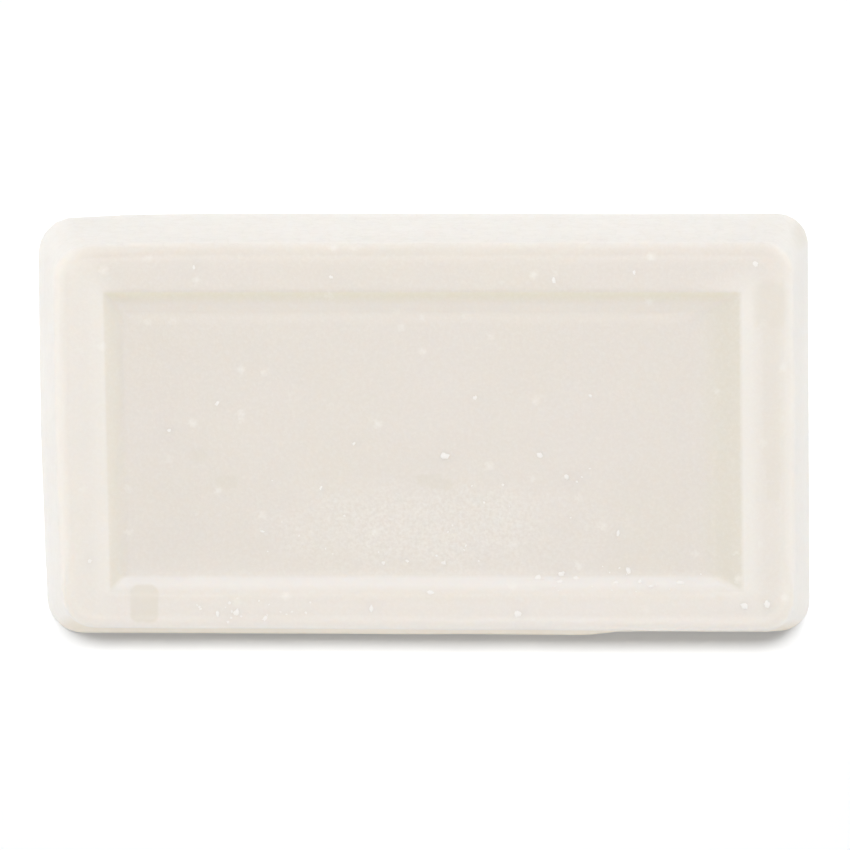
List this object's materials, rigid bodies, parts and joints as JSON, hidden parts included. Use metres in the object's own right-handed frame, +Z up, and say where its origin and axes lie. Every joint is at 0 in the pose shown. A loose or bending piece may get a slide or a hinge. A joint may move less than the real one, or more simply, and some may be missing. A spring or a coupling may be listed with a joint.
{
  "type": "bar of soap",
  "caption": "Rectangular bar of pale soap with drafted sides, rounded edges and a shallow sunken panel in its top.",
  "frame": {"origin": "middle of the flat face that the bar lies on", "axes": "+X along the bar, +Z up out of the face with the sunken panel, -Y towards the front long edge"},
  "size_m": [0.0898, 0.0492, 0.024],
  "materials": {
    "soap": "waxy, slightly translucent, satin"
  },
  "bodies": {
    "root": {"soap_bar": "soap"}
  },
  "joints": []
}
